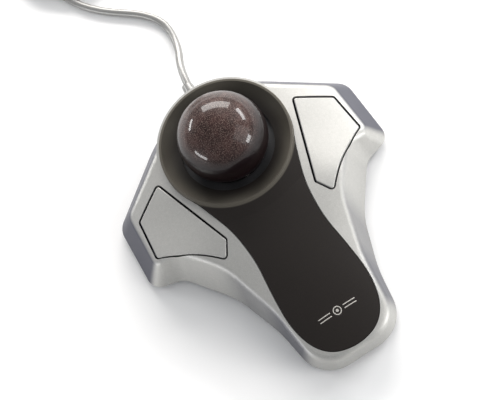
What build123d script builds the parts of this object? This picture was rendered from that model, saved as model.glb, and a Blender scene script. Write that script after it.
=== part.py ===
"""Desktop trackball mouse: 40 mm ball in a dark collar and palm rest, silver three-lobed shell.

Millimetres. X to the user's right, Y towards the cord (ball end), Z up, desk at Z = 0.
Plan points named *_PTS are measured from the ball centre; on_y() moves them into the part frame.
"""

import math
import os

from build123d import *

os.makedirs("parts", exist_ok=True)

# ---------------------------------------------------------------- driving dimensions
BALL_R = 20.0  # 40 mm ball
BALL_Y = 36.5  # ball centre, ahead of the middle of the footprint
BALL_Z = 32.0
REAR_Y = 35.5  # shell foot behind the ball centre
FRONT_Y = -108.5  # shell foot in front of the ball centre
Z_BASE = 1.0  # underside of the base plate, feet stand below it
BASE_T = 2.0
Z_SHELL = Z_BASE + BASE_T  # foot of the top shell
Z_LOFT = 27.0  # plane of the upper construction outline
WALL = 2.2
RING_R = 30.2  # outside of the dark collar
RING_Z = 26.5  # lip of the collar
GAP = 0.7  # visible gap round each button
BOARD_Z = 7.0  # underside of the circuit boards
BOARD_T = 1.6
BOARD_TOP = BOARD_Z + BOARD_T
CORD_D = 3.6
DRAFT_T = 0.18  # the turret wall leans in this much per mm of height
TURRET_H = 24.0
SKIN = 1.3  # thickness of the palm rest where it lies on the shell
CREASE_R = 4.0
HINGE = (26.0, -40.0)  # button hinge, from the ball centre (right side)
HINGE_Z = 16.5
HINGE_DIR = (0.8, -0.6)
REACH = 27.0  # hinge to switch
COIL_R = 20.0  # mean radius of the put-away coil
COIL_AT = (-8.8, 152.2)  # middle of the coil, from the ball centre

SIDES = (("left", -1.0), ("right", 1.0))


def on_y(y):
    return y + BALL_Y


def top_z(x, y):
    """Height of the outside top surface, x and y measured from the ball centre."""
    fall = max(0.0, -y - 20.0) / 88.5
    palm = min(1.0, max(0.0, (-y - 35.0) / 40.0))
    palm = palm * palm * (3.0 - 2.0 * palm)
    z = 25.4 - 12.0 * fall * fall
    z -= 12.5 * (abs(x) / 60.0) ** 2.8
    z -= 0.0045 * x * x * palm
    return z


def dish_z(x, y):
    """The button top: the same surface with a shallow finger dish in the middle."""
    u = ((abs(x) - 41.0) / 19.0) ** 2 + ((y + 20.0) / 26.0) ** 2
    return top_z(x, y) - 0.9 * max(0.0, 1.0 - u) ** 2


# ---------------------------------------------------------------- construction helpers
def surface(height, x0, x1, y0, y1, nx, ny, drop=0.0):
    """A smooth face through a grid of heights."""
    rows = []
    for i in range(nx + 1):
        x = x0 + (x1 - x0) * i / nx
        row = []
        for j in range(ny + 1):
            y = y0 + (y1 - y0) * j / ny
            row.append((x, on_y(y), height(x, y) - drop))
        rows.append(row)
    return Face.make_surface_from_array_of_points(rows, tol=0.02, min_deg=3, max_deg=3)


def above(height, x0, x1, y0, y1, nx, ny, drop=0.0):
    """Everything over the surface, as a cutting solid."""
    return Solid.extrude(surface(height, x0, x1, y0, y1, nx, ny, drop), Vector(0, 0, 70))


def meet(a, b):
    """Where two straight sides cross; a side is (point, unit direction)."""
    (ax, ay), (ux, uy) = a
    (bx, by), (vx, vy) = b
    t = ((bx - ax) * vy - (by - ay) * vx) / (ux * vy - uy * vx)
    return (ax + ux * t, ay + uy * t)


# right half of the outline at the desk, rear centre round to front centre
CORNERS = [
    (18.9, REAR_Y),
    (61.0, 2.4),
    (62.3, -31.0),
    (48.2, -34.9),
    (33.0, -56.0),
    (25.2, -80.0),
    (21.2, FRONT_Y),
]
CORNER_R = [50.0, 9.0, 6.5, 10.0, 45.0, 60.0, 16.0]
# how far each straight side leans in by the upper outline: rear, wing rear, wing end,
# wing front, waist, palm side, palm side, front
LEAN = [8.0, 11.5, 13.0, 9.5, 9.0, 6.5, 4.8, 2.4]
UPPER_R = [26.0, 6.0, 3.5, 9.0, 40.0, 60.0, 13.0]


def outline(z, extra=0.0):
    """Corner points of the body outline at height z, moved in by extra."""
    share = (z - Z_SHELL) / (Z_LOFT - Z_SHELL)
    pts = [(-CORNERS[0][0], CORNERS[0][1])] + CORNERS + [(-CORNERS[-1][0], CORNERS[-1][1])]
    sides = []
    for k in range(len(pts) - 1):
        (x0, y0), (x1, y1) = pts[k], pts[k + 1]
        run = math.hypot(x1 - x0, y1 - y0)
        ux, uy = (x1 - x0) / run, (y1 - y0) / run
        inset = LEAN[k] * share + extra
        sides.append(((x0 + uy * inset, y0 - ux * inset), (ux, uy)))
    right = [meet(sides[k], sides[k + 1]) for k in range(len(sides) - 1)]
    radii = [a + (b - a) * share for a, b in zip(CORNER_R, UPPER_R)]
    radii = [max(1.5, r if k in (3, 4, 5) else r - extra) for k, r in enumerate(radii)]
    left = [(-x, y) for x, y in reversed(right)]
    pts = [(x, on_y(y)) for x, y in right + left]
    return pts, radii + radii[::-1]


def rounded(z, extra):
    """The outline at height z as straight edges and tangent arcs, always in the same order."""
    pts, radii = outline(z, extra)
    n = len(pts)
    ends = []
    for k in range(n):
        (px, py), (qx, qy), (rx, ry) = pts[k - 1], pts[k], pts[(k + 1) % n]
        ax, ay = px - qx, py - qy
        bx, by = rx - qx, ry - qy
        la, lb = math.hypot(ax, ay), math.hypot(bx, by)
        ax, ay, bx, by = ax / la, ay / la, bx / lb, by / lb
        half = 0.5 * math.acos(max(-1.0, min(1.0, ax * bx + ay * by)))
        t = radii[k] / math.tan(half)
        mx, my = ax + bx, ay + by
        m = math.hypot(mx, my)
        depth = radii[k] / math.sin(half) - radii[k]
        ends.append(
            (
                Vector(qx + ax * t, qy + ay * t, z),
                Vector(qx + mx / m * depth, qy + my / m * depth, z),
                Vector(qx + bx * t, qy + by * t, z),
            )
        )
    edges = []
    for k in range(n):
        edges.append(Edge.make_line(ends[k - 1][2], ends[k][0]))
        edges.append(Edge.make_three_point_arc(*ends[k]))
    return edges


def body_wall(extra=0.0, z0=Z_SHELL, z1=Z_LOFT):
    """The leaning-in body wall as a solid, before its top is cut to shape."""
    low = rounded(z0, extra)
    high = rounded(z1, extra)
    faces = [Face.make_surface_from_curves(b, a) for a, b in zip(low, high)]
    faces.append(Face(Wire(low)))
    faces.append(Face(Wire(high)))
    return Solid(Shell(faces))


GRID = (-68.0, 68.0, -116.0, 44.0, 17, 20)


def side_grid(sign):
    """Grid limits for a surface over one wing."""
    x0, x1 = sorted((sign * 14.0, sign * 62.0))
    return (x0, x1, -56.0, 12.0, 8, 11)


def between(region, height, grid, top, bottom):
    """The prism over a plan region, kept between two copies of a surface."""
    with BuildPart() as piece:
        add(Solid.extrude(region, Vector(0, 0, 45)))
        add(above(height, *grid, drop=top), mode=Mode.SUBTRACT)
        add(above(height, *grid, drop=bottom), mode=Mode.INTERSECT)
    return piece.part


PAD_TURN = -25.0  # where the palm rest's edge leaves the collar's circle
PAD_PTS = [
    (22.9, -24.5),
    (19.7, -35.0),
    (18.1, -46.0),
    (17.9, -55.0),
    (18.9, -64.5),
    (19.9, -75.0),
    (20.1, -83.0),
    (18.9, -91.0),
    (15.6, -98.6),
    (10.9, -103.2),
    (5.4, -105.4),
    (0.0, -106.0),
]


def pad_region(inset=0.0):
    """Plan outline of the palm rest, collar included."""
    a = math.radians(PAD_TURN)
    start = (RING_R * math.cos(a), RING_R * math.sin(a))
    pts = [start] + PAD_PTS + [(-PAD_PTS[-2][0], PAD_PTS[-2][1])]
    right = [Vector((RING_R - inset) * math.cos(a), on_y((RING_R - inset) * math.sin(a)))]
    for k in range(1, len(pts) - 1):
        ux, uy = pts[k + 1][0] - pts[k - 1][0], pts[k + 1][1] - pts[k - 1][1]
        run = math.hypot(ux, uy)
        right.append(Vector(pts[k][0] + uy / run * inset, on_y(pts[k][1] - ux / run * inset)))
    left = [Vector(-p.X, p.Y) for p in reversed(right[:-1])]
    with BuildSketch() as flat:
        with BuildLine():
            Spline(
                *(right + left),
                tangents=(Vector(math.sin(a), -math.cos(a)), Vector(math.sin(a), math.cos(a))),
            )
            ThreePointArc(left[-1], Vector(0, on_y(RING_R - inset)), right[0])
        make_face()
    return flat.sketch.faces()[0]


BUTTON_PTS = [(35.4, 2.3), (51.3, -6.1), (53.2, -25.0), (27.3, -45.8), (22.6, -38.1)]
BUTTON_BOW = (39.2, -34.1)


def button_region(sign, grow):
    """Plan outline of a button; grow moves every side outwards."""
    pts = [(sign * x, on_y(y)) for x, y in BUTTON_PTS]
    bow = (sign * BUTTON_BOW[0], on_y(BUTTON_BOW[1]))
    with BuildSketch() as flat:
        with BuildLine():
            Polyline(pts[3], pts[4], pts[0], pts[1], pts[2])
            ThreePointArc(pts[2], bow, pts[3])
        make_face()
        fillet(flat.vertices(), 1.6)
        offset(amount=grow, kind=Kind.ARC)
    return flat.sketch.faces()[0]




def post(x, y, r, z0, z1, mode=Mode.ADD):
    """An upright cylinder in the current part, placed from the ball centre."""
    with Locations((x, on_y(y), z0)):
        Cylinder(r, z1 - z0, align=(Align.CENTER, Align.CENTER, Align.MIN), mode=mode)


def block(x, y, z0, size, turn=0.0, mode=Mode.ADD):
    """An upright box standing on z0 in the current part, placed from the ball centre."""
    with Locations(Location((x, on_y(y), z0), (0, 0, turn))):
        Box(*size, align=(Align.CENTER, Align.CENTER, Align.MIN), mode=mode)


def save(part, name):
    part.label = name
    export_step(part, f"parts/{name}.step")
    low, high = part.bounding_box().min.Z, part.bounding_box().max.Z
    print(f"{name:22s} solids {len(part.solids())} volume {part.volume:10.1f} z {low:.2f}..{high:.2f}")


# ---------------------------------------------------------------- fastener and post positions
CASE_SCREWS = [(27.4, 18.6), (-27.4, 18.6), (24.0, -56.0), (-24.0, -56.0)]
CUP_LEGS = [(24.0 * math.cos(math.radians(a)), 24.0 * math.sin(math.radians(a))) for a in (100, 220, 340)]
BOARD_SCREWS = [(-26.0, -15.0), (26.0, -15.0)]
FEET = [(48.5, -20.0), (-48.5, -20.0), (15.0, 24.5), (-15.0, 24.5), (13.0, -93.0), (-13.0, -93.0)]
LABEL_AT = (0.0, -58.0)


def switch_at(sign, along=0.0, across=0.0):
    """Plan point near the switch, in the button's own directions (away from and along the hinge)."""
    x = HINGE[0] + HINGE_DIR[0] * across - HINGE_DIR[1] * (REACH + along)
    y = HINGE[1] + HINGE_DIR[1] * across + HINGE_DIR[0] * (REACH + along)
    return (sign * x, y)


TURN = math.degrees(math.atan2(HINGE_DIR[1], HINGE_DIR[0]))

# ---------------------------------------------------------------- outside body, before hollowing
with BuildPart() as skin:
    add(body_wall())
    add(above(top_z, *GRID), mode=Mode.SUBTRACT)
    rim = [
        e
        for e in skin.edges()
        if all(abs((e @ t).Z - top_z((e @ t).X, (e @ t).Y - BALL_Y)) < 0.2 for t in (0.05, 0.5, 0.95))
    ]
    fillet(rim, CREASE_R)

with BuildPart() as turret:
    with Locations((0, BALL_Y, Z_SHELL)):
        Cone(
            REAR_Y,
            REAR_Y - DRAFT_T * TURRET_H,
            TURRET_H,
            align=(Align.CENTER, Align.CENTER, Align.MIN),
        )
    add(above(top_z, *GRID), mode=Mode.SUBTRACT)

with BuildPart() as outer:
    add(skin.part)
    add(turret.part)
print("outer body", round(outer.part.volume), outer.part.is_valid, "rim edges", len(rim))

# the space inside the shell
with BuildPart() as cavity:
    add(body_wall(WALL))
    with Locations((0, BALL_Y, Z_SHELL)):
        Cone(
            REAR_Y - WALL,
            REAR_Y - WALL - DRAFT_T * TURRET_H,
            TURRET_H,
            align=(Align.CENTER, Align.CENTER, Align.MIN),
        )
    add(above(top_z, *GRID, drop=WALL), mode=Mode.SUBTRACT)
print("cavity", round(cavity.part.volume), cavity.part.is_valid)

# ---------------------------------------------------------------- top shell
# everything that stands inside the shell: collar well, shelf and screw bosses
with BuildPart() as inside:
    post(0, 0, 32.3, 18.5, 27.0)
    for sx, sy in CASE_SCREWS:
        post(sx, sy, 3.3, Z_SHELL, 27.0)
    add(above(top_z, *GRID, drop=0.6), mode=Mode.SUBTRACT)
    add(outer.part, mode=Mode.INTERSECT)
    post(0, 0, 27.5, 18.0, 28.0, mode=Mode.SUBTRACT)

PAD_SEAT = between(pad_region(-0.05), top_z, GRID, -20.0, SKIN)
PAD_HOLE = Solid.extrude(pad_region(2.2), Vector(0, 0, 45))

with BuildPart() as pad_cut:
    add(PAD_HOLE)
    post(0, 0, 32.3, 0.0, 50.0, mode=Mode.SUBTRACT)
    for sx, sy in CASE_SCREWS:
        post(sx, sy, 3.3, 0.0, 50.0, mode=Mode.SUBTRACT)
    block(0, -40, 0, (160, 220, 8), mode=Mode.SUBTRACT)

with BuildPart() as top_shell:
    add(outer.part)
    add(cavity.part, mode=Mode.SUBTRACT)
    add(inside.part)
    post(0, 0, RING_R + 0.1, 20.5, 30.0, mode=Mode.SUBTRACT)
    add(PAD_SEAT, mode=Mode.SUBTRACT)
    add(pad_cut.part, mode=Mode.SUBTRACT)
    for _, sign in SIDES:
        add(Solid.extrude(button_region(sign, GAP / 2), Vector(0, 0, 45)), mode=Mode.SUBTRACT)
    for sx, sy in CASE_SCREWS:
        post(sx, sy, 1.1, Z_SHELL, 15.0, mode=Mode.SUBTRACT)
    with Locations(Location((0, on_y(36.0), 8.5), (90, 0, 0))):
        Cylinder(3.3, 12.0, mode=Mode.SUBTRACT)
save(top_shell.part, "top_shell")

# ---------------------------------------------------------------- palm rest with the ball collar
PLATE = between(pad_region(0.3), top_z, GRID, 0.0, SKIN)
FAIRING = Solid.extrude(pad_region(0.3), Vector(0, 0, 45))

with BuildPart() as fairing:
    with BuildSketch(Plane(origin=(0, BALL_Y, 0), x_dir=(1, 0, 0), z_dir=(0, -1, 0))):
        with BuildLine():
            Polyline((29.0, 23.5), (29.0, 26.2), (30.2, 26.2), (37.5, 24.75), (37.5, 23.5), close=True)
        make_face()
    revolve(axis=Axis((0, BALL_Y, 0), (0, 0, 1)))
    add(FAIRING, mode=Mode.INTERSECT)
    add(above(top_z, *GRID, drop=SKIN), mode=Mode.INTERSECT)
    block(0, 20.0 - 12.0, 0, (100, 40, 60), mode=Mode.SUBTRACT)

with BuildPart() as palm_rest:
    add(PLATE)
    add(fairing.part)
    post(0, 0, 29.5, 0.0, 50.0, mode=Mode.SUBTRACT)
    with BuildSketch(Plane(origin=(0, BALL_Y, 0), x_dir=(1, 0, 0), z_dir=(0, -1, 0))):
        with BuildLine():
            Polyline(
                (21.2, 21.8),
                (21.2, 19.95),
                (23.0, 19.95),
                (28.4, 24.0),
                (28.4, 20.5),
                (RING_R, 20.5),
                (RING_R, 26.1),
                (29.8, RING_Z),
                (29.0, RING_Z),
            )
            ThreePointArc((29.0, RING_Z), (25.2, 23.3), (21.2, 21.8))
        make_face()
    revolve(axis=Axis((0, BALL_Y, 0), (0, 0, 1)))
save(palm_rest.part, "palm_rest")

# ---------------------------------------------------------------- ball cup and its bearings
BEARING_R = 1.5
BEARING_OUT = BALL_R + BEARING_R + 0.03
BALL_AT = Vector(0, BALL_Y, BALL_Z)
BEARING_DIRS = []
for turn in (30, 150, 270):
    a = math.radians(turn)
    flat_r = math.cos(math.radians(45))
    BEARING_DIRS.append(Vector(flat_r * math.cos(a), flat_r * math.sin(a), -flat_r))
BEARINGS = [BALL_AT + d * BEARING_OUT for d in BEARING_DIRS]

CUP_IN = 21.0
CUP_OUT = 24.5
CUP_HOLE = 10.0


def cup_r(radius, z):
    """Distance from the ball's upright axis to a sphere of that radius, at height z."""
    return math.sqrt(radius**2 - (BALL_Z - z) ** 2)


def cup_z(radius, r):
    """Height of the lower half of a sphere of that radius, at r from the upright axis."""
    return BALL_Z - math.sqrt(radius**2 - r**2)


with BuildPart() as ball_cup:
    with BuildSketch(Plane(origin=(0, BALL_Y, 0), x_dir=(1, 0, 0), z_dir=(0, -1, 0))):
        with BuildLine():
            inner = ThreePointArc(
                (CUP_HOLE, cup_z(CUP_IN, CUP_HOLE)),
                (14.0, cup_z(CUP_IN, 14.0)),
                (cup_r(CUP_IN, 19.6), 19.6),
            )
            Polyline(inner @ 1, (27.1, 19.6), (27.1, 17.4), (cup_r(CUP_OUT, 17.4), 17.4))
            outside = ThreePointArc(
                (cup_r(CUP_OUT, 17.4), 17.4),
                (15.0, cup_z(CUP_OUT, 15.0)),
                (CUP_HOLE, cup_z(CUP_OUT, CUP_HOLE)),
            )
            Line(outside @ 1, inner @ 0)
        make_face()
    revolve(axis=Axis((0, BALL_Y, 0), (0, 0, 1)))
    for lx, ly in CUP_LEGS:
        post(lx, ly, 2.8, Z_SHELL, 18.4)
    with BuildSketch(Plane(origin=(0, BALL_Y, 0), x_dir=(1, 0, 0), z_dir=(0, 0, 1)).offset(8.0)):
        with Locations((7.5, 0)):
            Rectangle(15.0, 8.0)
    extrude(amount=4.2, mode=Mode.SUBTRACT)
    for lx, ly in CUP_LEGS:
        post(lx, ly, 1.1, 2.0, 14.0, mode=Mode.SUBTRACT)
    for d in BEARING_DIRS:
        with BuildSketch(Plane(origin=BALL_AT + d * 20.0, z_dir=d)):
            Circle(BEARING_R + 0.02)
        extrude(amount=3.03, mode=Mode.SUBTRACT)
save(ball_cup.part, "ball_cup")

with BuildPart() as support_bearings:
    with Locations(*BEARINGS):
        Sphere(BEARING_R)
save(support_bearings.part, "support_bearings")

with BuildPart() as ball_core:
    with Locations((0, BALL_Y, BALL_Z)):
        Sphere(15.0)
save(ball_core.part, "ball_core")

with BuildPart() as ball_shell:
    with Locations((0, BALL_Y, BALL_Z)):
        Sphere(BALL_R)
        Sphere(15.3, mode=Mode.SUBTRACT)
save(ball_shell.part, "ball_shell")

# ---------------------------------------------------------------- base plate
with BuildPart() as lip:
    add(body_wall(WALL + 0.4))
    with Locations((0, 0, 6.0)):
        Box(300, 300, 100, align=(Align.CENTER, Align.CENTER, Align.MIN), mode=Mode.SUBTRACT)
    add(body_wall(WALL + 1.8), mode=Mode.SUBTRACT)
    block(0, 34, 0, (14, 12, 20), mode=Mode.SUBTRACT)
    for sx, sy in CASE_SCREWS:
        post(sx, sy, 4.0, 0.0, 20.0, mode=Mode.SUBTRACT)

FLOOR = Face(Wire(rounded(Z_SHELL, 1.0))).moved(Location((0, 0, -BASE_T)))

with BuildPart() as base_plate:
    add(Solid.extrude(FLOOR, Vector(0, 0, BASE_T)))
    add(lip.part)
    for px, py in BOARD_SCREWS:
        post(px, py, 2.8, Z_SHELL, BOARD_Z)
    for _, sign in SIDES:
        for along in (-5.0, 5.0):
            post(*switch_at(sign, along, 8.5 if along > 0 else -8.5), 2.4, Z_SHELL, BOARD_Z)
    for px, py in BOARD_SCREWS:
        post(px, py, 1.1, 3.6, BOARD_Z, mode=Mode.SUBTRACT)
    for _, sign in SIDES:
        post(*switch_at(sign, 5.0, 8.5), 1.1, 3.6, BOARD_Z, mode=Mode.SUBTRACT)
    for sx, sy in CASE_SCREWS + CUP_LEGS:
        post(sx, sy, 1.15, 0.0, 8.0, mode=Mode.SUBTRACT)
        post(sx, sy, 2.3, 0.0, 2.0, mode=Mode.SUBTRACT)
    for fx, fy in FEET:
        post(fx, fy, 5.0, 0.0, 1.4, mode=Mode.SUBTRACT)
    block(*LABEL_AT, 0.0, (34.0, 18.0, 1.25), mode=Mode.SUBTRACT)
save(base_plate.part, "base_plate")

with BuildPart() as rating_label:
    block(*LABEL_AT, 1.05, (33.4, 17.4, 0.2))
save(rating_label.part, "rating_label")

with BuildPart() as rubber_feet:
    for fx, fy in FEET:
        post(fx, fy, 4.9, 0.0, 1.4)
    chamfer(rubber_feet.edges().group_by(Axis.Z)[0], 0.4)
save(rubber_feet.part, "rubber_feet")

with BuildPart() as case_screws:
    for sx, sy in CASE_SCREWS + CUP_LEGS:
        post(sx, sy, 2.1, 1.2, 2.0)
        post(sx, sy, 1.1, 2.0, 11.0)
        block(sx, sy, 0.0, (2.6, 0.5, 1.6), mode=Mode.SUBTRACT)
        block(sx, sy, 0.0, (0.5, 2.6, 1.6), mode=Mode.SUBTRACT)
save(case_screws.part, "case_screws")

# ---------------------------------------------------------------- main board and optics
MAIN = (0.0, -3.0)
with BuildPart() as main_board:
    block(*MAIN, BOARD_Z, (62.0, 36.0, BOARD_T))
    corners = main_board.edges().filter_by(Axis.Z).group_by(Axis.Y)
    chamfer(corners[0], 7.0)
    fillet(corners[-1], 2.0)
    for lx, ly in CUP_LEGS[1:]:
        post(lx, ly, 3.3, 6.0, 10.0, mode=Mode.SUBTRACT)
    for px, py in BOARD_SCREWS:
        post(px, py, 1.2, 6.0, 10.0, mode=Mode.SUBTRACT)
    post(0, 0, 2.4, 6.0, 10.0, mode=Mode.SUBTRACT)
save(main_board.part, "main_board")

with BuildPart() as sensor_chip:
    block(0, 0, BOARD_Z - 2.6, (12.0, 9.0, 2.6))
    post(0, 0, 1.2, BOARD_Z - 0.8, BOARD_Z, mode=Mode.SUBTRACT)
    for k in range(4):
        for side in (-1, 1):
            block(-4.5 + 3.0 * k, side * 4.9, BOARD_Z - 1.5, (0.6, 0.9, 1.5))
save(sensor_chip.part, "sensor_chip")

with BuildPart() as sensor_lens:
    block(0, 0, BOARD_TOP, (14.0, 10.0, 1.0))
    post(0, 0, 2.6, BOARD_TOP + 1.0, 11.0)
    with Locations((0, BALL_Y, 11.0)):
        Sphere(1.6)
    post(0, 0, 40.0, 11.6, 20.0, mode=Mode.SUBTRACT)
    block(8.5, 0, BOARD_TOP, (9.0, 5.0, 2.2))
save(sensor_lens.part, "sensor_lens")

LED_Z = 10.6
with BuildPart() as illumination_led:
    with Locations(Location((16.8, on_y(0), LED_Z), (0, 90, 0))):
        Cylinder(1.5, 3.4)
    with Locations((15.1, on_y(0), LED_Z)):
        Sphere(1.5)
    with Locations(Location((19.0, on_y(0), LED_Z), (0, 90, 0))):
        Cylinder(1.9, 1.0)
    for side in (-1.27, 1.27):
        block(19.9, side, LED_Z - 0.25, (1.4, 0.5, 0.5))
        block(20.4, side, BOARD_TOP, (0.5, 0.5, LED_Z - BOARD_TOP + 0.25))
save(illumination_led.part, "illumination_led")

with BuildPart() as led_holder:
    block(16.8, 0, BOARD_TOP, (2.6, 5.4, 2.6))
    with Locations(Location((16.8, on_y(0), LED_Z), (0, 90, 0))):
        Cylinder(1.5, 10.0, mode=Mode.SUBTRACT)
save(led_holder.part, "led_holder")

with BuildPart() as controller_chip:
    block(-21.5, 3.5, BOARD_TOP, (6.0, 10.0, 1.9))
    for k in range(7):
        for side in (-1, 1):
            block(-21.5 + side * 3.5, -0.3 + 1.27 * k, BOARD_TOP, (1.0, 0.4, 0.9))
save(controller_chip.part, "controller_chip")

with BuildPart() as board_components:
    post(-20.0, 12.0, 2.4, BOARD_TOP, BOARD_TOP + 5.0)
    post(-26.5, 11.8, 2.0, BOARD_TOP, BOARD_TOP + 4.5)
    block(26.5, 1.0, BOARD_TOP, (3.2, 7.0, 3.4))
    for k in range(4):
        block(-8.0 + 5.0 * k, -17.5, BOARD_TOP, (2.0, 1.25, 0.7))
    for k in range(3):
        block(-28.5, -2.0 + 3.0 * k, BOARD_TOP, (2.0, 1.25, 0.7))
save(board_components.part, "board_components")

with BuildPart() as cable_connector:
    block(23.0, 11.8, BOARD_TOP, (12.0, 4.6, 5.6))
    for k in range(5):
        block(19.0 + 2.0 * k, 11.0, BOARD_TOP + 3.6, (1.3, 1.3, 3.0), mode=Mode.SUBTRACT)
save(cable_connector.part, "cable_connector")

# ---------------------------------------------------------------- buttons, switches, pivots
for side_name, sign in SIDES:
    grid = side_grid(sign)
    plate = between(button_region(sign, -GAP / 2), dish_z, grid, 0.0, 2.0)
    hinge = (sign * HINGE[0], HINGE[1])
    turn = sign * TURN
    push = switch_at(sign)
    with BuildPart() as web:
        block(*hinge, HINGE_Z, (4.6, 2.2, 12.0), turn)
        post(*push, 1.0, 15.91, 26.0)
        block(*switch_at(sign, -12.0), HINGE_Z + 3.5, (2.0, 26.0, 10.0), turn)
        add(above(dish_z, *grid, drop=1.0), mode=Mode.SUBTRACT)
    with BuildPart() as button:
        add(plate)
        fillet(button.faces().sort_by(Axis.Z)[-1].edges(), 0.6)
        add(web.part)
        with Locations(Location((hinge[0], on_y(hinge[1]), HINGE_Z), (0, 0, turn))):
            with Locations(Location((0, 0, 0), (0, 90, 0))):
                Cylinder(2.0, 5.0)
                Cylinder(1.05, 20.0, mode=Mode.SUBTRACT)
    save(button.part, f"{side_name}_button")

    with BuildPart() as pin:
        with Locations(Location((hinge[0], on_y(hinge[1]), HINGE_Z), (0, 0, turn))):
            with Locations(Location((0, 0, 0), (0, 90, 0))):
                Cylinder(1.0, 9.0)
    save(pin.part, f"{side_name}_hinge_pin")

    with BuildPart() as bracket:
        block(*hinge, Z_SHELL, (10.0, 6.0, 2.0), turn)
        with Locations(Location((hinge[0], on_y(hinge[1]), Z_SHELL), (0, 0, turn))):
            with Locations((-3.5, 0, 0), (3.5, 0, 0)):
                Box(1.6, 4.0, HINGE_Z - Z_SHELL, align=(Align.CENTER, Align.CENTER, Align.MIN))
        with Locations(Location((hinge[0], on_y(hinge[1]), HINGE_Z), (0, 0, turn))):
            with Locations(Location((-3.5, 0, 0), (0, 90, 0)), Location((3.5, 0, 0), (0, 90, 0))):
                Cylinder(2.0, 1.6)
            with Locations(Location((0, 0, 0), (0, 90, 0))):
                Cylinder(1.0, 30.0, mode=Mode.SUBTRACT)
    save(bracket.part, f"{side_name}_pivot_bracket")

    with BuildPart() as board:
        block(*push, BOARD_Z, (22.0, 16.0, BOARD_T), turn)
        fillet(board.edges().filter_by(Axis.Z), 5.0)
        post(*switch_at(sign, 5.0, 8.5), 1.2, 6.0, 10.0, mode=Mode.SUBTRACT)
    save(board.part, f"{side_name}_switch_board")

    with BuildPart() as switch:
        block(*push, BOARD_TOP, (12.8, 5.8, 6.5), turn)
        block(*push, 12.2, (1.7, 2.7, 6.0), turn, mode=Mode.SUBTRACT)
    save(switch.part, f"{side_name}_switch")

    with BuildPart() as plunger:
        block(*push, 13.2, (1.6, 2.6, 2.65), turn)
    save(plunger.part, f"{side_name}_switch_plunger")

with BuildPart() as board_screws:
    for px, py in BOARD_SCREWS + [switch_at(-1.0, 5.0, 8.5), switch_at(1.0, 5.0, 8.5)]:
        post(px, py, 2.0, BOARD_TOP, BOARD_TOP + 1.5)
        post(px, py, 1.1, 3.6, BOARD_TOP)
        block(px, py, BOARD_TOP + 0.9, (2.6, 0.5, 1.0), mode=Mode.SUBTRACT)
        block(px, py, BOARD_TOP + 0.9, (0.5, 2.6, 1.0), mode=Mode.SUBTRACT)
save(board_screws.part, "board_screws")

# ---------------------------------------------------------------- wires inside the housing
def tube(points, diameter, name, radii=None):
    """A round wire along straight runs joined by tangent arcs."""
    runs = [(Vector(*b) - Vector(*a)).length for a, b in zip(points, points[1:])]
    bends = []
    for k in range(1, len(points) - 1):
        a = (Vector(*points[k]) - Vector(*points[k - 1])).normalized()
        b = (Vector(*points[k + 1]) - Vector(*points[k])).normalized()
        turn = math.acos(max(-1.0, min(1.0, a.dot(b))))
        bends.append(0.45 * min(runs[k - 1], runs[k]) / math.tan(turn / 2.0))
    if radii is not None:
        bends = radii
    start = Vector(*points[0])
    ahead = (Vector(*points[1]) - start).normalized()
    with BuildPart() as wire:
        with BuildLine() as path:
            FilletPolyline(*points, radius=bends)
        with BuildSketch(Plane(origin=start, z_dir=ahead)):
            Circle(diameter / 2.0)
        sweep(path=path.line)
    length = sum(e.length for e in path.line.edges())
    ideal = length * math.pi * (diameter / 2.0) ** 2
    print(name, "length", round(length, 1), "radii", [round(r, 1) for r in bends])
    print(name, "volume against section times length", round(wire.part.volume / ideal, 4))
    return wire.part


with BuildPart() as switch_leads:
    for _, sign in SIDES:
        for k in (0.0, 1.0):
            ax, ay = sign * (36.5 + 1.1 * k), -10.0 + 1.5 * k
            bx, by = sign * 28.4, -7.5 + 2.2 * k
            ends = [
                (ax, on_y(ay), BOARD_TOP),
                (ax, on_y(ay), BOARD_TOP + 4.0),
                (bx, on_y(by), BOARD_TOP + 4.0),
                (bx, on_y(by), BOARD_TOP),
            ]
            add(tube(ends, 0.9, "switch lead", radii=[1.8, 1.8]))
save(switch_leads.part, "switch_leads")

LEAD_ROUTE = [
    (0.0, on_y(28.8), 8.5),
    (1.5, on_y(21.5), 10.0),
    (19.5, on_y(20.5), 12.0),
    (23.0, on_y(14.1), 12.0),
]
with BuildPart() as cable_leads:
    add(tube(LEAD_ROUTE, 2.4, "cable leads"))
save(cable_leads.part, "cable_leads")

# ---------------------------------------------------------------- cord
CORD_Z = 1.9
EXIT_Z = 8.5
CORD_ROUTE = [
    (0.0, on_y(29.0), EXIT_Z),
    (0.0, on_y(49.0), EXIT_Z),
    (8.0, on_y(67.5), CORD_Z),
    (7.8, on_y(87.0), CORD_Z),
    (-20.0, on_y(109.5), CORD_Z),
    (-29.9, on_y(135.7), CORD_Z),
]
with BuildPart() as usb_cable:
    add(tube(CORD_ROUTE, CORD_D, "usb cable"))
save(usb_cable.part, "usb_cable")

with BuildPart() as strain_relief:
    with BuildSketch(Plane(origin=(0, on_y(29.6), EXIT_Z), x_dir=(1, 0, 0), z_dir=(0, 0, 1))):
        with BuildLine():
            Polyline(
                (CORD_D / 2, 0.0),
                (4.6, 0.0),
                (4.6, 1.5),
                (3.2, 1.5),
                (3.2, 7.0),
                (2.5, 13.4),
                (CORD_D / 2, 13.4),
                close=True,
            )
        make_face()
    revolve(axis=Axis((0, on_y(29.6), EXIT_Z), (0, 1, 0)))
save(strain_relief.part, "strain_relief")

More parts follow.
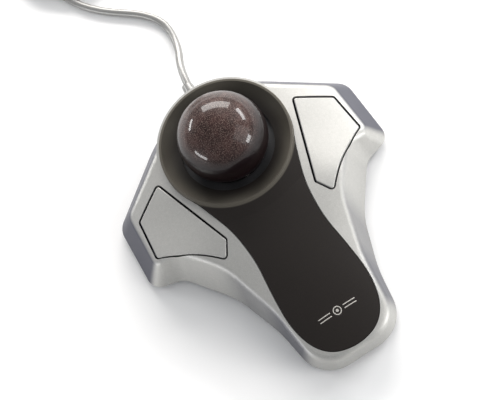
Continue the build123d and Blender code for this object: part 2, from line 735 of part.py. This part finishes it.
COIL_IN = 12.6
COIL_OUT = 27.4
COIL_LOW = 0.8
COIL_TOP = 11.6
with BuildPart() as cable_coil:
    with BuildSketch(Plane(origin=(COIL_AT[0], on_y(COIL_AT[1]), 0), x_dir=(1, 0, 0), z_dir=(0, -1, 0))):
        with Locations(((COIL_IN + COIL_OUT) / 2, (COIL_LOW + COIL_TOP) / 2)):
            RectangleRounded(COIL_OUT - COIL_IN, COIL_TOP - COIL_LOW, 1.7)
    revolve(axis=Axis((COIL_AT[0], on_y(COIL_AT[1]), 0), (0, 0, 1)))
save(cable_coil.part, "cable_coil")

TIE_TURN = -35.0
with BuildPart() as cable_tie:
    with Locations(Location((COIL_AT[0], on_y(COIL_AT[1]), 0), (0, 0, TIE_TURN))):
        with Locations(((COIL_IN + COIL_OUT) / 2, 0, 0)):
            Box(
                COIL_OUT - COIL_IN + 2.6,
                7.0,
                COIL_TOP + 0.9,
                align=(Align.CENTER, Align.CENTER, Align.MIN),
            )
    add(cable_coil.part, mode=Mode.SUBTRACT)
save(cable_tie.part, "cable_tie")

# ---------------------------------------------------------------- plug at the far end of the cord
PLUG_Y = COIL_AT[1] + 25.5
PLUG_Z = 4.2
LEAD = [
    (-1.0, on_y(PLUG_Y), CORD_Z),
    (11.0, on_y(PLUG_Y), CORD_Z),
    (23.0, on_y(PLUG_Y), PLUG_Z),
]
with BuildPart() as plug_lead:
    add(tube(LEAD, CORD_D, "plug lead"))
save(plug_lead.part, "plug_lead")

with BuildPart() as plug_overmold:
    with Locations((23.5, on_y(PLUG_Y), PLUG_Z)):
        Box(22.0, 15.6, 8.0, align=(Align.MIN, Align.CENTER, Align.CENTER))
    fillet(plug_overmold.edges().filter_by(Axis.X), 2.2)
    fillet(plug_overmold.faces().sort_by(Axis.X)[0].edges(), 1.5)
    with Locations((42.0, on_y(PLUG_Y), PLUG_Z)):
        Box(20.0, 12.0, 4.5, align=(Align.MIN, Align.CENTER, Align.CENTER), mode=Mode.SUBTRACT)
save(plug_overmold.part, "plug_overmold")

with BuildPart() as plug_shell:
    with Locations((42.0, on_y(PLUG_Y), PLUG_Z)):
        Box(15.0, 12.0, 4.5, align=(Align.MIN, Align.CENTER, Align.CENTER))
        Box(16.0, 11.4, 3.9, align=(Align.MIN, Align.CENTER, Align.CENTER), mode=Mode.SUBTRACT)
    with Locations((51.0, on_y(PLUG_Y) - 3.0, PLUG_Z + 1.5), (51.0, on_y(PLUG_Y) + 3.0, PLUG_Z + 1.5)):
        Box(2.4, 2.2, 3.0, align=(Align.MIN, Align.CENTER, Align.MIN), mode=Mode.SUBTRACT)
save(plug_shell.part, "plug_shell")

with BuildPart() as plug_insert:
    with Locations((42.0, on_y(PLUG_Y), PLUG_Z)):
        Box(3.4, 11.4, 3.9, align=(Align.MIN, Align.CENTER, Align.CENTER))
    with Locations((42.0, on_y(PLUG_Y), PLUG_Z - 1.95)):
        Box(14.4, 11.2, 1.9, align=(Align.MIN, Align.CENTER, Align.MIN))
save(plug_insert.part, "plug_insert")

with BuildPart() as plug_contacts:
    for k in (-3.5, -1.0, 1.0, 3.5):
        with Locations((45.4, on_y(PLUG_Y) + k, PLUG_Z - 0.05)):
            Box(8.0, 1.0, 0.25, align=(Align.MIN, Align.CENTER, Align.MIN))
save(plug_contacts.part, "plug_contacts")
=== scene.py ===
"""Looks for the desktop trackball mouse. Metres, in the CAD frame: +X right, +Y towards the cord, +Z up."""

import math
from collections import namedtuple

import bmesh
import bpy
from mathutils import Matrix, Vector
from mathutils.bvhtree import BVHTree


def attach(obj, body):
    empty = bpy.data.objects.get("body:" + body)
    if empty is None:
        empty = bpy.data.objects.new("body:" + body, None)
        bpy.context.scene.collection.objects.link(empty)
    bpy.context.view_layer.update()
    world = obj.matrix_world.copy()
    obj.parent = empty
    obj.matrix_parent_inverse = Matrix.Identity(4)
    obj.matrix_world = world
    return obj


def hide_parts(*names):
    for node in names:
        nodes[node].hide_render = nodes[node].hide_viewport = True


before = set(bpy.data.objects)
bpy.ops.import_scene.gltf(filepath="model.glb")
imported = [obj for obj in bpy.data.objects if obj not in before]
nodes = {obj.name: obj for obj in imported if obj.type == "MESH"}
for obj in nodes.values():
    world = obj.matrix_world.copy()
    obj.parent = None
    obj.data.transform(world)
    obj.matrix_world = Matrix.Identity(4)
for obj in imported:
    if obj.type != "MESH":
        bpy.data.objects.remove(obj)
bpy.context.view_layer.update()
MM = 0.001

# ---------------------------------------------------------------- camera
cam_data = bpy.data.cameras.new("camera")
cam = bpy.data.objects.new("camera", cam_data)
bpy.context.scene.collection.objects.link(cam)
bpy.context.scene.camera = cam
cam_data.sensor_width = 36.0
cam_data.sensor_fit = "HORIZONTAL"
cam_data.lens = 107.59
cam_data.clip_start = 0.02
cam_data.clip_end = 20.0
# the camera's own axes, as directions in the scene
RIGHT = Vector((0.83885, -0.50764, -0.19655))
UP = Vector((0.54397, 0.76814, 0.33770))
LOOK = Vector((0.02045, 0.39020, -0.92050))
cam.rotation_mode = "QUATERNION"
cam.rotation_quaternion = Matrix((RIGHT, UP, -LOOK)).transposed().to_quaternion()
cam.location = (-0.0183, -0.2441, 0.6180)


# ---------------------------------------------------------------- materials
# a material with its node tree, its shader, its grained colour socket and its object coordinates
Surface = namedtuple("Surface", "mat tree bsdf color where")


def material(name, color, rough=0.5, metal=0.0, coat=0.0, spec=0.5, grain=1200.0, vary=0.12, bump=0.08):
    """A moulded or plated surface: fine grain in colour, roughness and bump, on a Principled shader."""
    mat = bpy.data.materials.new(name)
    mat.use_nodes = True
    tree = mat.node_tree
    tree.nodes.clear()
    out = tree.nodes.new("ShaderNodeOutputMaterial")
    bsdf = tree.nodes.new("ShaderNodeBsdfPrincipled")
    tree.links.new(bsdf.outputs["BSDF"], out.inputs["Surface"])
    bsdf.inputs["Metallic"].default_value = metal
    bsdf.inputs["Coat Weight"].default_value = coat
    bsdf.inputs["Coat Roughness"].default_value = 0.08
    bsdf.inputs["Specular IOR Level"].default_value = spec
    where = tree.nodes.new("ShaderNodeTexCoord").outputs["Object"]

    noise = tree.nodes.new("ShaderNodeTexNoise")
    noise.inputs["Scale"].default_value = grain
    noise.inputs["Detail"].default_value = 3.0
    tree.links.new(where, noise.inputs["Vector"])
    ramp = tree.nodes.new("ShaderNodeValToRGB")
    low = [c * (1.0 - vary) for c in color]
    high = [min(1.0, c * (1.0 + vary)) for c in color]
    for stop, position, shade in zip(ramp.color_ramp.elements, (0.3, 0.7), (low, high)):
        stop.position = position
        stop.color = (*shade, 1.0)
    tree.links.new(noise.outputs["Fac"], ramp.inputs["Fac"])
    tree.links.new(ramp.outputs["Color"], bsdf.inputs["Base Color"])

    wide = tree.nodes.new("ShaderNodeTexNoise")
    wide.inputs["Scale"].default_value = grain / 12.0
    wide.inputs["Detail"].default_value = 2.0
    tree.links.new(where, wide.inputs["Vector"])
    spread = tree.nodes.new("ShaderNodeMapRange")
    spread.inputs["To Min"].default_value = max(0.03, rough - 0.05)
    spread.inputs["To Max"].default_value = min(1.0, rough + 0.05)
    tree.links.new(wide.outputs["Fac"], spread.inputs["Value"])
    tree.links.new(spread.outputs["Result"], bsdf.inputs["Roughness"])

    dent = tree.nodes.new("ShaderNodeBump")
    dent.inputs["Strength"].default_value = bump
    dent.inputs["Distance"].default_value = 0.05 * MM
    tree.links.new(noise.outputs["Fac"], dent.inputs["Height"])
    tree.links.new(dent.outputs["Normal"], bsdf.inputs["Normal"])
    return Surface(mat, tree, bsdf, ramp.outputs["Color"], where)


def mixed(tree, factor, a, b, target):
    """Mix colour socket a with colour b into target by factor, and return the mixed socket."""
    mix = tree.nodes.new("ShaderNodeMix")
    mix.data_type = "RGBA"
    tree.links.new(factor, mix.inputs["Factor"])
    tree.links.new(a, mix.inputs["A"])
    mix.inputs["B"].default_value = (*b, 1.0)
    tree.links.new(mix.outputs["Result"], target)
    return mix.outputs["Result"]


def ranged(tree, value, start, end, smooth=True):
    """0 where value is at start, 1 where it is at end."""
    step = tree.nodes.new("ShaderNodeMapRange")
    if smooth:
        step.interpolation_type = "SMOOTHSTEP"
    step.inputs["From Min"].default_value = start
    step.inputs["From Max"].default_value = end
    tree.links.new(value, step.inputs["Value"])
    return step.outputs["Result"]


def product(tree, a, b):
    """The product of two value sockets."""
    both = tree.nodes.new("ShaderNodeMath")
    both.operation = "MULTIPLY"
    tree.links.new(a, both.inputs[0])
    tree.links.new(b, both.inputs[1])
    return both.outputs["Value"]


def facing(tree):
    """The sockets of the surface's direction in the scene, by axis."""
    geo = tree.nodes.new("ShaderNodeNewGeometry")
    split = tree.nodes.new("ShaderNodeSeparateXYZ")
    tree.links.new(geo.outputs["Normal"], split.inputs["Vector"])
    return split.outputs


def voronoi(surface, scale):
    """A cell pattern fixed to the piece."""
    cell = surface.tree.nodes.new("ShaderNodeTexVoronoi")
    cell.inputs["Scale"].default_value = scale
    surface.tree.links.new(surface.where, cell.inputs["Vector"])
    return cell.outputs


def silver():
    """Silver paint: fine metal flakes, with painted shade: cooler and darker where the moulding turns down at its
    sides and back.
    """
    s = material(
        "silver_paint", (0.42, 0.416, 0.398), rough=0.47, metal=0.55, grain=700.0, vary=0.03, bump=0.05, coat=0.03
    )
    base = s.bsdf.inputs["Base Color"]
    grey = s.tree.nodes.new("ShaderNodeSeparateColor")
    s.tree.links.new(voronoi(s, 5200.0)["Color"], grey.inputs["Color"])
    share = s.tree.nodes.new("ShaderNodeMapRange")
    share.inputs["From Min"].default_value = 0.55
    share.inputs["To Max"].default_value = 0.45
    s.tree.links.new(grey.outputs["Red"], share.inputs["Value"])
    flaked = mixed(s.tree, share.outputs["Result"], s.color, (0.56, 0.555, 0.535), base)
    # painted shade: surfaces turning down at the sides and back, by their direction in the scene, are mixed towards
    # a dark bluish grey
    normal = facing(s.tree)
    painted_shade_down = ranged(s.tree, normal["Z"], 0.965, 0.60)
    not_front = ranged(s.tree, normal["Y"], -0.62, 0.0)
    mixed(s.tree, product(s.tree, painted_shade_down, not_front), flaked, (0.070, 0.072, 0.092), base)
    return s.mat


def dark_plastic():
    """Soft dark plastic, with painted light: greyer on the bowl that rises around the ball, up to its lip."""
    s = material(
        "dark_soft_plastic", (0.012, 0.0093, 0.0080), rough=0.58, grain=2600.0, vary=0.16, bump=0.22, spec=0.22
    )
    flat = s.tree.nodes.new("ShaderNodeVectorMath")
    flat.operation = "MULTIPLY"
    flat.inputs[1].default_value = (1.0, 1.0, 0.0)
    s.tree.links.new(s.where, flat.inputs[0])
    away = s.tree.nodes.new("ShaderNodeVectorMath")
    away.operation = "DISTANCE"
    away.inputs[1].default_value = (BALL_AT[0], BALL_AT[1], 0.0)
    s.tree.links.new(flat.outputs["Vector"], away.inputs[0])
    # painted light: the ring between the ball and the lip is mixed towards a lighter grey
    off_ball = ranged(s.tree, away.outputs["Value"], 0.0215, 0.0300)
    within_lip = ranged(s.tree, away.outputs["Value"], 0.0312, 0.0304)
    bowl = product(s.tree, off_ball, within_lip)
    mixed(s.tree, bowl, s.color, (0.085, 0.077, 0.063), s.bsdf.inputs["Base Color"])
    return s.mat


# scale of the cells, distance where a spot ends, distance where it is full, colour
FLECKS = (
    (1300.0, 0.27, 0.10, (0.15, 0.098, 0.088)),
    (2600.0, 0.34, 0.08, (0.33, 0.245, 0.21)),
    (900.0, 0.16, 0.06, (0.012, 0.006, 0.008)),
)


def speckled_ball():
    """Resin ball: pale flecks and dark pores in a deep wine colour, under a clear skin, with painted shade: darker
    on its underside by its direction in the scene.
    """
    s = material(
        "ball_resin", (0.034, 0.017, 0.015), rough=0.38, grain=260.0, vary=0.45, bump=0.0, coat=0.42, spec=0.10
    )
    base = s.bsdf.inputs["Base Color"]
    s.bsdf.inputs["Coat Roughness"].default_value = 0.04
    color = s.color
    for scale, end, full, tint in FLECKS:
        spot = ranged(s.tree, voronoi(s, scale)["Distance"], end, full, smooth=False)
        color = mixed(s.tree, spot, color, tint, base)
    # painted shade: the lower side of the ball, by its direction in the scene, is mixed towards near black
    under = ranged(s.tree, facing(s.tree)["Z"], 0.74, 0.34)
    mixed(s.tree, under, color, (0.006, 0.0025, 0.003), base)
    return s.mat


def board_green():
    """Solder mask with tracks."""
    mask = (0.006, 0.030, 0.016)
    s = material("circuit_board", mask, rough=0.28, grain=500.0, vary=0.2, bump=0.03, coat=0.5)
    brick = s.tree.nodes.new("ShaderNodeTexBrick")
    brick.inputs["Scale"].default_value = 140.0
    brick.inputs["Mortar Size"].default_value = 0.012
    brick.inputs["Color1"].default_value = (*mask, 1)
    brick.inputs["Color2"].default_value = (0.007, 0.038, 0.020, 1)
    brick.inputs["Mortar"].default_value = (0.02, 0.085, 0.045, 1)
    s.tree.links.new(s.where, brick.inputs["Vector"])
    s.tree.links.new(brick.outputs["Color"], s.bsdf.inputs["Base Color"])
    return s.mat


def clear(name, color, weight):
    """Clear moulded plastic."""
    s = material(name, color, rough=0.08, grain=300.0, vary=0.02, bump=0.01)
    s.bsdf.inputs["Transmission Weight"].default_value = weight
    s.bsdf.inputs["IOR"].default_value = 1.49
    return s.mat


BALL_AT = (0.0, 0.0365, 0.032)  # the ball's centre
SILVER = silver()
BALL = speckled_ball()
BOARD = board_green()
DARK = dark_plastic()
BLACK = material("black_plastic", (0.018, 0.018, 0.020), rough=0.46, grain=1500.0, vary=0.15, bump=0.18).mat
CERAMIC = material("ceramic_ball", (0.75, 0.70, 0.66), rough=0.12, grain=800.0, vary=0.05, bump=0.01, coat=0.4).mat
LABEL = material("label_film", (0.62, 0.62, 0.60), rough=0.42, grain=900.0, vary=0.04, bump=0.03).mat
RUBBER = material("rubber", (0.022, 0.022, 0.022), rough=0.78, grain=2400.0, vary=0.25, bump=0.35).mat
SCREW = material("screw_steel", (0.46, 0.46, 0.47), rough=0.30, metal=1.0, grain=1700.0, bump=0.10).mat
PIN = material("pin_steel", (0.60, 0.60, 0.61), rough=0.20, metal=1.0, grain=2500.0, vary=0.08, bump=0.06).mat
CHIP = material("chip_resin", (0.020, 0.020, 0.022), rough=0.55, grain=3200.0, vary=0.2, bump=0.2).mat
LENS = clear("clear_lens", (0.93, 0.96, 0.98), 0.9)
LAMP = clear("red_lamp", (0.75, 0.05, 0.03), 0.6)
PARTS = material("component_case", (0.09, 0.09, 0.11), rough=0.38, grain=1300.0, vary=0.3).mat
SOCKET = material("socket_nylon", (0.74, 0.71, 0.60), rough=0.45, vary=0.05).mat
BRACKET = material("bracket_plastic", (0.20, 0.20, 0.21), rough=0.48, grain=1400.0, vary=0.1, bump=0.12).mat
PLUNGER = material("plunger_white", (0.80, 0.79, 0.75), rough=0.35, grain=1400.0, vary=0.04, bump=0.05).mat
LEADS = material("lead_vinyl", (0.05, 0.05, 0.055), rough=0.36, grain=900.0, vary=0.15, bump=0.04).mat
JACKET = material("cable_jacket", (0.27, 0.268, 0.26), rough=0.34, metal=0.35, grain=1600.0, vary=0.08).mat
TIE = material("tie_vinyl", (0.025, 0.025, 0.027), rough=0.42, grain=900.0, vary=0.2, bump=0.1).mat
GRIP = material("plug_grip", (0.33, 0.33, 0.32), grain=2000.0, vary=0.1, bump=0.2).mat
PLATED = material("plated_steel", (0.66, 0.65, 0.62), rough=0.22, metal=1.0, grain=1500.0, vary=0.06, bump=0.04).mat
WHITE_PART = material("insulator", (0.80, 0.80, 0.78), rough=0.4, vary=0.03, bump=0.05).mat
GOLD = material("contact_gold", (0.83, 0.58, 0.22), rough=0.2, metal=1.0, grain=1800.0, vary=0.08, bump=0.03).mat
MARK = material("printed_mark", (0.42, 0.40, 0.37), rough=0.45, grain=1800.0, vary=0.1, bump=0.05).mat

LOOKS = {
    "top_shell": SILVER,
    "left_button": SILVER,
    "right_button": SILVER,
    "palm_rest": DARK,
    "ball_cup": BLACK,
    "base_plate": BLACK,
    "ball_core": BALL,
    "ball_shell": BALL,
    "support_bearings": CERAMIC,
    "rating_label": LABEL,
    "rubber_feet": RUBBER,
    "case_screws": SCREW,
    "board_screws": SCREW,
    "main_board": BOARD,
    "left_switch_board": BOARD,
    "right_switch_board": BOARD,
    "sensor_chip": CHIP,
    "controller_chip": CHIP,
    "sensor_lens": LENS,
    "illumination_led": LAMP,
    "led_holder": BLACK,
    "board_components": PARTS,
    "cable_connector": SOCKET,
    "left_hinge_pin": PIN,
    "right_hinge_pin": PIN,
    "left_pivot_bracket": BRACKET,
    "right_pivot_bracket": BRACKET,
    "left_switch": CHIP,
    "right_switch": CHIP,
    "left_switch_plunger": PLUNGER,
    "right_switch_plunger": PLUNGER,
    "switch_leads": LEADS,
    "cable_leads": LEADS,
    "strain_relief": JACKET,
    "usb_cable": JACKET,
    "cable_coil": JACKET,
    "plug_lead": JACKET,
    "cable_tie": TIE,
    "plug_overmold": GRIP,
    "plug_shell": PLATED,
    "plug_insert": WHITE_PART,
    "plug_contacts": GOLD,
}
for name, node in nodes.items():
    node.data.materials.clear()
    node.data.materials.append(LOOKS[name])


# ---------------------------------------------------------------- helper for pieces
def link(obj, body, mat):
    """Put a new piece in the scene, on a body, with its material and slot."""
    bpy.context.scene.collection.objects.link(obj)
    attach(obj, body)
    obj.data.materials.append(mat)
    if obj.type == "MESH":
        for poly in obj.data.polygons:
            poly.use_smooth = True
    return obj


# ---------------------------------------------------------------- cord, in millimetres
CORD_D = 3.6
ON_DESK = 1.9  # height of the cord's middle where it lies on the desk
# the CAD tube's route
ROUTE = [
    (0.0, 65.5, 8.5),
    (0.0, 85.5, 8.5),
    (8.0, 104.0, ON_DESK),
    (7.8, 123.5, ON_DESK),
    (-20.0, 146.0, ON_DESK),
    (-29.9, 172.2, ON_DESK),
]
COIL_X, COIL_Y = -8.8, 188.7
COIL_START = 200.7  # the direction from the coil's middle in which its first turn begins, in degrees
PER_TURN = 16
LANDED = 8  # points by which the first turn is at its full height
STEP_OUT = 0.62  # how far round its turn the cord starts over to the next one
TIGHTEN = 1.0 / 0.981  # a spline through points this far apart runs that much inside them
# height of each layer, with the radii of its turns
LAYERS = [
    (2.6, [25.5, 21.8, 18.2, 14.5]),
    (6.2, [14.5, 18.2, 21.8, 25.5]),
    (9.8, [25.5, 21.8, 18.2]),
]
# the last loop: over the top, out and down beside the coil (turn in degrees, radius, height)
TAIL = [
    (22, 19.6, 11.6),
    (45, 21.8, 13.2),
    (67, 24.0, 13.4),
    (90, 26.2, 13.3),
    (112, 28.2, 12.6),
    (135, 29.8, 11.4),
    (157, 30.8, 10.3),
    (180, 31.2, 9.3),
    (202, 31.2, 8.4),
    (225, 31.2, 7.5),
    (247, 31.2, 6.8),
    (270, 31.2, 6.3),
    (292, 31.2, 6.0),
    (315, 31.2, 5.8),
    (337, 31.2, 5.7),
    (360, 31.2, 4.8),
    (382, 31.0, 3.6),
    (405, 30.6, 2.5),
    (427, 30.0, ON_DESK),
    (450, 29.4, ON_DESK),
    (470, 29.0, ON_DESK),
]
# off the coil and up into the plug
END = [(4.0, 216.2, ON_DESK), (12.0, 214.6, 2.3), (18.0, 214.2, 3.4), (23.5, 214.2, 4.2)]


def coil_points():
    """Turns of the put-away coil, clockwise seen from above, layer on layer, and its last loop."""
    turns = [(r, z) for z, radii in LAYERS for r in radii]
    rounds = []
    for i in range(1, len(turns) * PER_TURN + 1):
        f = (i - 1e-9) / PER_TURN
        k = int(f)
        n = min(k + 1, len(turns) - 1)
        s = min(1.0, max(0.0, (f - k - STEP_OUT) / (1.0 - STEP_OUT)))
        s = s * s * (3 - 2 * s)
        r = turns[k][0] + (turns[n][0] - turns[k][0]) * s
        z = turns[k][1] + (turns[n][1] - turns[k][1]) * s
        if i < LANDED:
            z = ON_DESK + (z - ON_DESK) * i / LANDED
        rounds.append((360.0 * i / PER_TURN, r, z))
    rounds += [(360.0 * len(turns) + a, r, z) for a, r, z in TAIL]
    points = []
    for a, r, z in rounds:
        b = math.radians(COIL_START - a)
        points.append((COIL_X + r * TIGHTEN * math.cos(b), COIL_Y + r * TIGHTEN * math.sin(b), z))
    return points


def spline_curve(name, points, diameter):
    """A round cord along a smooth NURBS line."""
    data = bpy.data.curves.new(name, "CURVE")
    data.dimensions = "3D"
    line = data.splines.new("NURBS")
    line.points.add(len(points) - 1)
    for p, (x, y, z) in zip(line.points, points):
        p.co = (x * MM, y * MM, z * MM, 1.0)
        p.radius = diameter / 2 * MM
    line.order_u = 3
    line.use_endpoint_u = True
    line.resolution_u = 6
    data.bevel_depth = 1.0  # times the radius of each point, which also sets the box around the curve
    data.bevel_resolution = 6
    data.use_fill_caps = True
    return bpy.data.objects.new(name, data)


cord = spline_curve("cord", ROUTE + coil_points() + END, CORD_D)
link(cord, "housing", JACKET)
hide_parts("usb_cable", "cable_coil", "plug_lead")

# ---------------------------------------------------------------- printed mark on the palm rest, in millimetres
MARK_X, MARK_Y = 0.02, -53.6  # the middle of its ring
MARK_FILM = 0.03  # thickness of the print, and its lift off the plastic
RINGS = ((1.7, 0.42), (0.35, 0.55))  # radius and width of the ring, and of the dot
BAR_FROM, BAR_TO = 3.2, 9.0
BAR_APART, BAR_WIDE = 0.75, 0.2  # half of each
pad_tree = BVHTree.FromPolygons(
    [v.co.copy() for v in nodes["palm_rest"].data.vertices],
    [tuple(p.vertices) for p in nodes["palm_rest"].data.polygons],
)


def on_pad(x, y):
    """A point just above the palm rest's top, at a plan point."""
    hit = pad_tree.ray_cast(Vector((x * MM, y * MM, 0.08)), Vector((0, 0, -1)))[0]
    return hit + Vector((0, 0, MARK_FILM * MM))


def circle(radius):
    """Plan points round the mark's middle."""
    turns = [2 * math.pi * k / 40 for k in range(40)]
    return [(MARK_X + radius * math.cos(a), MARK_Y + radius * math.sin(a)) for a in turns]


def printed_mark():
    """A plain generic badge: a ring with a dot, between two pairs of thin bars."""
    bm = bmesh.new()

    def strip(inner, outer, closed):
        rows = [[bm.verts.new(on_pad(*p)) for p in side] for side in (inner, outer)]
        n = len(inner)
        for i in range(n if closed else n - 1):
            j = (i + 1) % n
            bm.faces.new((rows[0][i], rows[1][i], rows[1][j], rows[0][j]))

    for radius, width in RINGS:
        strip(circle(max(0.01, radius - width / 2)), circle(radius + width / 2), True)
    for side in (-1, 1):
        xs = [side * (BAR_FROM + (BAR_TO - BAR_FROM) * k / 12) for k in range(13)]
        for row in (-BAR_APART, BAR_APART):
            near, far = MARK_Y + row - BAR_WIDE, MARK_Y + row + BAR_WIDE
            strip([(x, near) for x in xs], [(x, far) for x in xs], False)
    bmesh.ops.recalc_face_normals(bm, faces=bm.faces)
    for face in bm.faces:
        if face.normal.z < 0:
            face.normal_flip()
    mesh = bpy.data.meshes.new("printed_mark")
    bm.to_mesh(mesh)
    bm.free()
    obj = bpy.data.objects.new("printed_mark", mesh)
    thick = obj.modifiers.new("thick", "SOLIDIFY")
    thick.thickness = MARK_FILM * MM
    thick.offset = 0.0
    link(obj, "housing", MARK)


printed_mark()


# ---------------------------------------------------------------- floor and light, in metres
def floor():
    """A plain pale floor."""
    mesh = bpy.data.meshes.new("floor")
    far = 3.0
    mesh.from_pydata([(-far, -far, 0), (far, -far, 0), (far, far, 0), (-far, far, 0)], [], [(0, 1, 2, 3)])
    obj = bpy.data.objects.new("floor", mesh)
    bpy.context.scene.collection.objects.link(obj)
    pale = material("floor", (0.94, 0.94, 0.94), rough=0.7, grain=30.0, vary=0.01, bump=0.0, spec=0.15).mat
    obj.data.materials.append(pale)


def lamp(name, toward, distance, size, power, tint=(1, 1, 1), aim=BALL_AT, tall=None):
    """A soft rectangular light standing in a direction from aim and facing it."""
    data = bpy.data.lights.new(name, "AREA")
    data.shape = "RECTANGLE"
    data.size = size
    data.size_y = tall or size
    data.energy = power
    data.color = tint
    obj = bpy.data.objects.new(name, data)
    bpy.context.scene.collection.objects.link(obj)
    way = Vector(toward).normalized()
    obj.location = Vector(aim) + way * distance
    obj.rotation_mode = "QUATERNION"
    obj.rotation_quaternion = way.to_track_quat("Z", "Y")


floor()
world = bpy.data.worlds.new("studio")
bpy.context.scene.world = world
world.use_nodes = True
back = world.node_tree.nodes["Background"]
back.inputs["Color"].default_value = (0.95, 0.97, 1.0, 1.0)
back.inputs["Strength"].default_value = 0.40
bpy.context.scene.view_settings.view_transform = "Standard"

# two broad soft lights on the whole object, then the windows that the ball reflects
MIDDLE = (0.0, 0.0, 0.015)
lamp("key", (0.85, 0.50, 0.75), 0.95, 0.85, 1.6, tint=(1.0, 0.98, 0.945), aim=MIDDLE)
lamp("front_soft", (0.75, -0.62, 0.55), 1.0, 0.7, 3.0, tint=(1.0, 0.985, 0.96), aim=MIDDLE)
lamp("far_window", (0.34, 0.84, 0.44), 0.8, 0.74, 8.6, tint=(1.0, 0.97, 0.94), tall=0.30)
lamp("right_window", (0.92, 0.16, 0.36), 0.7, 0.34, 2.6, tall=0.11)
lamp("near_window", (0.72, -0.68, 0.12), 0.7, 0.20, 1.5, tall=0.12)
lamp("left_window", (-0.61, 0.75, 0.27), 0.7, 0.24, 1.2, tall=0.07)
lamp("low_window", (-0.97, -0.22, 0.11), 0.7, 0.36, 1.5, tall=0.08)
